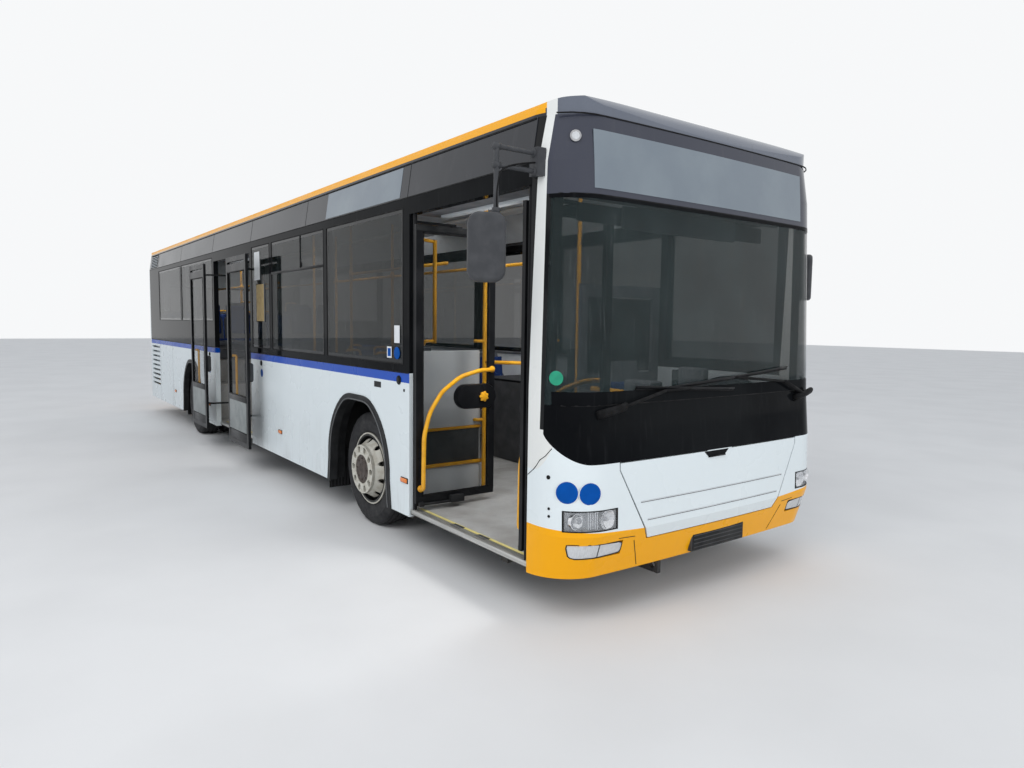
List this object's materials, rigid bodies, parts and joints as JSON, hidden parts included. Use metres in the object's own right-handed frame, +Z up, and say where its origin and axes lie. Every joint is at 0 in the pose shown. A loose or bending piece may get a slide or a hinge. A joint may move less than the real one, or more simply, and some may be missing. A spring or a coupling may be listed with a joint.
{
  "type": "city bus",
  "caption": "Two-axle 12 m city bus with two double doors on the right side, shown with its doors open, steered front wheels and twin rear wheels.",
  "frame": {"origin": "on the ground at mid length and mid width", "axes": "+X forward, +Y to the left (driver's side), +Z up"},
  "size_m": [11.98, 3.3778, 3.02],
  "materials": {
    "body_white": "gloss paint",
    "bumper_yellow": "gloss paint",
    "band_black": "gloss black panels",
    "cantrail_grey": "dark grey gloss paint",
    "roof_white": "gloss paint",
    "glass": "green tinted safety glass",
    "lamp": "clear lens",
    "rear_lamp": "red lens",
    "floor_grey": "hard floor covering",
    "frame_black": "black underbody paint",
    "axle_iron": "painted cast iron",
    "engine_iron": "painted cast iron",
    "tyre": "black rubber",
    "rim_silver": "silver paint",
    "door_black": "black powder coat",
    "rail_yellow": "yellow powder coat",
    "seat_blue": "blue woven cover",
    "cab_grey": "grained panels",
    "mirror_grey": "grained plastic",
    "rubber": "black rubber"
  },
  "bodies": {
    "root": {"front_lamps": "lamp", "front_bumper": "bumper_yellow", "front_mask": "body_white", "front_panel": "band_black", "windscreen": "glass", "display_glass": "band_black", "rear_wall": "body_white", "glazing": "glass", "rear_lamps": "rear_lamp", "side_right": "body_white", "side_left": "body_white", "window_band_right": "band_black", "window_band_left": "band_black", "cantrails": "cantrail_grey", "roof_cap": "cantrail_grey", "roof": "roof_white", "roof_rim": "roof_white", "roof_hatches": "roof_white", "low_floor": "floor_grey", "raised_floor": "floor_grey", "side_grille": "body_white", "arch_lips": "rubber", "frame_rails": "frame_black", "cross_members": "frame_black", "front_axle": "axle_iron", "rear_axle": "axle_iron", "engine": "engine_iron", "seats": "seat_blue", "driver_cab": "cab_grey", "handrails": "rail_yellow", "mirrors": "mirror_grey", "wipers": "rubber", "door_headers": "cab_grey"},
    "front_flap": {"front_flap": "body_white"},
    "engine_lid": {"engine_lid": "body_white"},
    "steering_wheel": {"steering_wheel": "cab_grey"},
    "knuckle_right": {"knuckle_right": "axle_iron"},
    "knuckle_left": {"knuckle_left": "axle_iron"},
    "front_wheel_right": {"front_tyre_right": "tyre", "front_rim_right": "rim_silver"},
    "rear_wheels_right": {"rear_tyres_right": "tyre", "rear_rims_right": "rim_silver"},
    "front_wheel_left": {"front_tyre_left": "tyre", "front_rim_left": "rim_silver"},
    "rear_wheels_left": {"rear_tyres_left": "tyre", "rear_rims_left": "rim_silver"},
    "front_door_column_aft": {"front_door_column_aft": "door_black"},
    "front_door_leaf_aft": {"front_door_leaf_aft": "door_black", "front_door_glass_aft": "glass"},
    "front_door_column_fore": {"front_door_column_fore": "door_black"},
    "front_door_leaf_fore": {"front_door_leaf_fore": "door_black", "front_door_glass_fore": "glass"},
    "middle_door_column_aft": {"middle_door_column_aft": "door_black"},
    "middle_door_leaf_aft": {"middle_door_leaf_aft": "door_black", "middle_door_glass_aft": "glass"},
    "middle_door_column_fore": {"middle_door_column_fore": "door_black"},
    "middle_door_leaf_fore": {"middle_door_leaf_fore": "door_black", "middle_door_glass_fore": "glass"}
  },
  "joints": [
    {"name": "flap_hinge", "type": "hinge", "parent": "root", "child": "front_flap", "pos_m": [5.981, 0, 0.942], "axis": [0, -1, 0], "range_deg": [0, 75]},
    {"name": "lid_hinge", "type": "hinge", "parent": "root", "child": "engine_lid", "pos_m": [-5.9765, 0, 1.203], "axis": [0, 1, 0], "range_deg": [0, 80]},
    {"name": "steer_right", "type": "hinge", "parent": "root", "child": "knuckle_right", "pos_m": [3.285, -0.88, 0.479], "axis": [0, 0, 1], "range_deg": [-45, 45]},
    {"name": "front_roll_right", "type": "hinge", "parent": "knuckle_right", "child": "front_wheel_right", "pos_m": [3.285, -1.01, 0.479], "axis": [0, 1, 0], "continuous": true},
    {"name": "rear_roll_right", "type": "hinge", "parent": "root", "child": "rear_wheels_right", "pos_m": [-2.59, -0.905, 0.479], "axis": [0, 1, 0], "continuous": true},
    {"name": "steer_left", "type": "hinge", "parent": "root", "child": "knuckle_left", "pos_m": [3.285, 0.88, 0.479], "axis": [0, 0, 1], "range_deg": [-45, 45]},
    {"name": "front_roll_left", "type": "hinge", "parent": "knuckle_left", "child": "front_wheel_left", "pos_m": [3.285, 1.01, 0.479], "axis": [0, 1, 0], "continuous": true},
    {"name": "rear_roll_left", "type": "hinge", "parent": "root", "child": "rear_wheels_left", "pos_m": [-2.59, 0.905, 0.479], "axis": [0, 1, 0], "continuous": true},
    {"name": "steering_wheel_turn", "type": "hinge", "parent": "root", "child": "steering_wheel", "pos_m": [5.23, 0.64, 1.12], "axis": [-0.5736, 0, 0.8192], "range_deg": [-720, 720]},
    {"name": "front_door_aft", "type": "hinge", "parent": "root", "child": "front_door_column_aft", "pos_m": [4.235, -1.222, 0.34], "axis": [0, 0, -1], "range_deg": [0, 90]},
    {"name": "front_door_aft_leaf", "type": "hinge", "parent": "front_door_column_aft", "child": "front_door_leaf_aft", "pos_m": [4.235, -0.8995, 0.4], "axis": [0, 0, -1], "range_deg": [-180, 0]},
    {"name": "front_door_fore", "type": "hinge", "parent": "root", "child": "front_door_column_fore", "pos_m": [5.575, -1.222, 0.34], "axis": [0, 0, 1], "range_deg": [0, 90]},
    {"name": "front_door_fore_leaf", "type": "hinge", "parent": "front_door_column_fore", "child": "front_door_leaf_fore", "pos_m": [5.575, -0.8995, 0.4], "axis": [0, 0, 1], "range_deg": [-180, 0]},
    {"name": "middle_door_fore", "type": "hinge", "parent": "root", "child": "middle_door_column_fore", "pos_m": [0.29869, -1.075, 0.34], "axis": [0, 0, -1], "range_deg": [0, 105.39]},
    {"name": "middle_door_fore_leaf", "type": "hinge", "parent": "middle_door_column_fore", "child": "middle_door_leaf_fore", "pos_m": [0.485, -1.375, 0.3], "axis": [0, 0, -1], "range_deg": [-105.39, 0]},
    {"name": "middle_door_aft", "type": "hinge", "parent": "root", "child": "middle_door_column_aft", "pos_m": [-1.15869, -1.075, 0.34], "axis": [0, 0, 1], "range_deg": [0, 105.39]},
    {"name": "middle_door_aft_leaf", "type": "hinge", "parent": "middle_door_column_aft", "child": "middle_door_leaf_aft", "pos_m": [-1.345, -1.375, 0.3], "axis": [0, 0, 1], "range_deg": [-105.39, 0]}
  ],
  "couplings": [
    {"joint": "steer_left", "follows": "steer_right", "ratio": 1},
    {"joint": "steering_wheel_turn", "follows": "steer_right", "ratio": 16},
    {"joint": "front_door_aft_leaf", "follows": "front_door_aft", "ratio": -2},
    {"joint": "front_door_fore_leaf", "follows": "front_door_fore", "ratio": -2},
    {"joint": "middle_door_fore_leaf", "follows": "middle_door_fore", "ratio": -1},
    {"joint": "middle_door_aft_leaf", "follows": "middle_door_aft", "ratio": -1}
  ]
}
